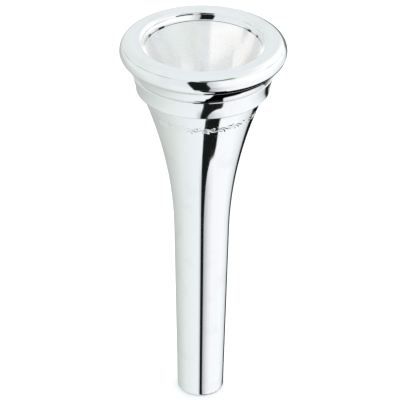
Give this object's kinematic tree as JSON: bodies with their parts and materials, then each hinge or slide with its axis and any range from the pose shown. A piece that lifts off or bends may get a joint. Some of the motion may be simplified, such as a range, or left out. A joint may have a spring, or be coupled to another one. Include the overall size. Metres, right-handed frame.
{
  "type": "french horn mouthpiece",
  "caption": "Silver-plated brass French horn mouthpiece with a screw-on cushion rim, flared seat ring, flared collar, bell-shaped taper and straight tapered shank.",
  "frame": {"origin": "centre of the flat face at the shank's small end", "axes": "+Z along the bore axis, from the shank's small end to the rim"},
  "size_m": [0.0252, 0.0252, 0.0633],
  "materials": {
    "silver_plate": "polished silver plate over brass"
  },
  "bodies": {
    "cup_and_shank": {"cup_and_shank": "silver_plate"},
    "seat_ring": {"seat_ring": "silver_plate"},
    "rim": {"rim": "silver_plate"}
  },
  "joints": [
    {"name": "rim_rise", "type": "slide", "parent": "cup_and_shank", "child": "seat_ring", "axis": [0, 0, 1], "range_m": [0, 0.0018]},
    {"name": "rim_unscrew", "type": "hinge", "parent": "seat_ring", "child": "rim", "pos_m": [0, 0, 0.061], "axis": [0, 0, 1], "range_deg": [0, 1296]}
  ],
  "couplings": [
    {"joint": "rim_rise", "follows": "rim_unscrew", "m_per_rad": 0.000079577}
  ]
}
